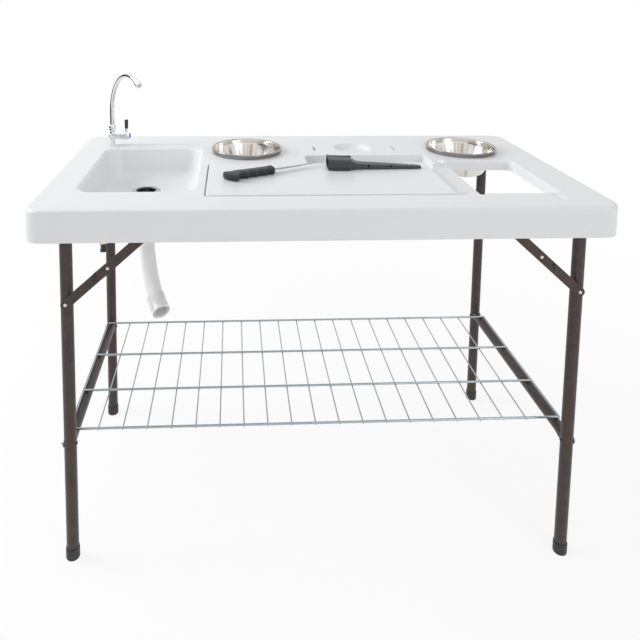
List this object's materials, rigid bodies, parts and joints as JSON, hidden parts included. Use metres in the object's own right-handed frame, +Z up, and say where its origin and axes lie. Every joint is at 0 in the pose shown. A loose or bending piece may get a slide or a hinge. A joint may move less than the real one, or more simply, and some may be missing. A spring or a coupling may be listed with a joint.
{
  "type": "folding camping sink stand",
  "caption": "Folding worktop stand with a moulded sink basin, gooseneck tap, drop-in bowls, cutting board, waste opening and wire shelf.",
  "frame": {"origin": "centre of the footprint, on the ground under the feet", "axes": "+X along the length from the sink to the waste opening, +Y to the back edge where the tap stands, +Z up"},
  "size_m": [1.143, 0.6, 0.9649],
  "materials": {
    "table_plastic": "fine grained white moulding",
    "board_plastic": "smooth white",
    "bowl_steel": "polished",
    "drain_steel": "satin",
    "faucet_chrome": "mirror chrome",
    "zinc_wire": "zinc plated",
    "brown_coat": "dark brown powder coat",
    "black_plastic": "satin black",
    "blue_plastic": "glossy blue",
    "brass_metal": "turned",
    "seal_rubber": "matt",
    "hose_plastic": "smooth white",
    "blade_steel": "ground"
  },
  "bodies": {
    "table": {"table_top": "table_plastic", "faucet_flange": "faucet_chrome", "faucet_body": "faucet_chrome", "spout_nut": "faucet_chrome", "faucet_shank": "brass_metal", "shank_washer": "seal_rubber", "lock_nut": "brass_metal", "tail_pipe": "faucet_chrome", "tail_nut": "brass_metal", "hose_connector": "black_plastic", "drain_body": "drain_steel", "drain_gasket": "seal_rubber", "drain_nut": "black_plastic", "drain_hose": "hose_plastic", "hose_cuff": "hose_plastic", "hose_clamp": "drain_steel", "bracket_left_back": "brown_coat", "bracket_left_front": "brown_coat", "bracket_right_back": "brown_coat", "bracket_right_front": "brown_coat", "pivot_pin_left_back": "zinc_wire", "pivot_pin_left_front": "zinc_wire", "pivot_pin_right_back": "zinc_wire", "pivot_pin_right_front": "zinc_wire"},
    "spout": {"spout_tube": "faucet_chrome", "spout_nozzle": "faucet_chrome"},
    "tap_lever": {"lever_hub": "faucet_chrome", "lever_grip": "black_plastic", "index_button": "blue_plastic"},
    "board": {"cutting_board": "board_plastic"},
    "knife": {"knife_handle": "black_plastic", "knife_blade": "blade_steel"},
    "sheath": {"knife_sheath": "black_plastic"},
    "bowl_left": {"bowl_left": "bowl_steel"},
    "bowl_right": {"bowl_right": "bowl_steel"},
    "shelf": {"wire_shelf": "zinc_wire"},
    "left_legs": {"leg_left_back": "brown_coat", "leg_left_front": "brown_coat", "foot_left_back": "black_plastic", "foot_left_front": "black_plastic", "cross_bar_left": "brown_coat", "bar_bolt_left_back": "zinc_wire", "bar_bolt_left_front": "zinc_wire"},
    "left_lower_links": {"lower_link_left_back": "brown_coat", "lower_link_left_front": "brown_coat"},
    "left_upper_links": {"upper_link_left_back": "brown_coat", "upper_link_left_front": "brown_coat"},
    "right_legs": {"leg_right_back": "brown_coat", "leg_right_front": "brown_coat", "foot_right_back": "black_plastic", "foot_right_front": "black_plastic", "cross_bar_right": "brown_coat", "bar_bolt_right_back": "zinc_wire", "bar_bolt_right_front": "zinc_wire"},
    "right_lower_links": {"lower_link_right_back": "brown_coat", "lower_link_right_front": "brown_coat"},
    "right_upper_links": {"upper_link_right_back": "brown_coat", "upper_link_right_front": "brown_coat"}
  },
  "joints": [
    {"name": "left_legs_fold", "type": "hinge", "parent": "table", "child": "left_legs", "pos_m": [-0.51, 0, 0.6935], "axis": [0, -1, 0], "range_deg": [0, 90]},
    {"name": "left_lower_links_fold", "type": "hinge", "parent": "left_legs", "child": "left_lower_links", "pos_m": [-0.51, 0, 0.554], "axis": [0, 1, 0], "range_deg": [0, 131.9]},
    {"name": "left_upper_links_fold", "type": "hinge", "parent": "table", "child": "left_upper_links", "pos_m": [-0.3545, 0, 0.6935], "axis": [0, -1, 0], "range_deg": [0, 138.1]},
    {"name": "right_legs_fold", "type": "hinge", "parent": "table", "child": "right_legs", "pos_m": [0.51, 0, 0.7185], "axis": [0, 1, 0], "range_deg": [0, 90]},
    {"name": "right_lower_links_fold", "type": "hinge", "parent": "right_legs", "child": "right_lower_links", "pos_m": [0.51, 0, 0.579], "axis": [0, -1, 0], "range_deg": [0, 131.9]},
    {"name": "right_upper_links_fold", "type": "hinge", "parent": "table", "child": "right_upper_links", "pos_m": [0.3545, 0, 0.7185], "axis": [0, 1, 0], "range_deg": [0, 138.1]},
    {"name": "shelf_lift_out", "type": "slide", "parent": "table", "child": "shelf", "axis": [0.9586, 0, 0.2848], "range_m": [0, 1.2]},
    {"name": "spout_swivel", "type": "hinge", "parent": "table", "child": "spout", "pos_m": [-0.494, 0.198, 0.811], "axis": [0, 0, 1], "continuous": true},
    {"name": "tap_lever_turn", "type": "hinge", "parent": "table", "child": "tap_lever", "pos_m": [-0.467, 0.198, 0.79], "axis": [1, 0, 0], "range_deg": [0, 90]},
    {"name": "board_lift", "type": "slide", "parent": "table", "child": "board", "axis": [0, 0, 1], "range_m": [0, 0.15]},
    {"name": "knife_lift", "type": "slide", "parent": "board", "child": "knife", "axis": [0, 0, 1], "range_m": [0, 0.15]},
    {"name": "sheath_lift", "type": "slide", "parent": "board", "child": "sheath", "axis": [0, 0, 1], "range_m": [0, 0.15]},
    {"name": "bowl_left_lift", "type": "slide", "parent": "table", "child": "bowl_left", "axis": [0, 0, 1], "range_m": [0, 0.15]},
    {"name": "bowl_right_lift", "type": "slide", "parent": "table", "child": "bowl_right", "axis": [0, 0, 1], "range_m": [0, 0.15]}
  ],
  "couplings": [
    {"joint": "right_legs_fold", "follows": "left_legs_fold", "ratio": 1},
    {"joint": "left_lower_links_fold", "follows": "left_legs_fold", "ratio": 1.4655},
    {"joint": "left_upper_links_fold", "follows": "left_legs_fold", "ratio": 1.5344},
    {"joint": "right_lower_links_fold", "follows": "left_legs_fold", "ratio": 1.4655},
    {"joint": "right_upper_links_fold", "follows": "left_legs_fold", "ratio": 1.5344},
    {"joint": "shelf_lift_out", "follows": "left_legs_fold", "m_per_rad": 0.7636}
  ]
}
